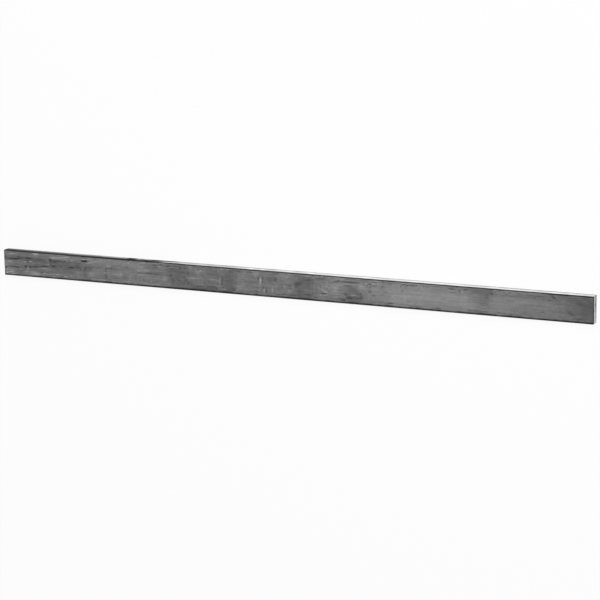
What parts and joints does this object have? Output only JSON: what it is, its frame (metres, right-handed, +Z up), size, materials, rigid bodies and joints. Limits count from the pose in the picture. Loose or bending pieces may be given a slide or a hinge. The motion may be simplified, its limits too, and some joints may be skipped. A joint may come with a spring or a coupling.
{
  "type": "metal flat bar",
  "caption": "Solid hot-rolled steel flat bar of rectangular section with rounded rolled corners and square saw-cut ends, lying on a broad face.",
  "frame": {"origin": "on the broad face that the bar rests on, at the middle of its length and width", "axes": "+X along the length, +Y across the width, +Z up through the thickness"},
  "size_m": [0.9144, 0.038, 0.0127],
  "materials": {
    "mill_scale_steel": "dark grey mill scale with faint lengthwise streaks and handling marks, semi-matt; barer and brighter on the narrow edges and cut ends"
  },
  "bodies": {
    "root": {"flat_bar": "mill_scale_steel"}
  },
  "joints": []
}
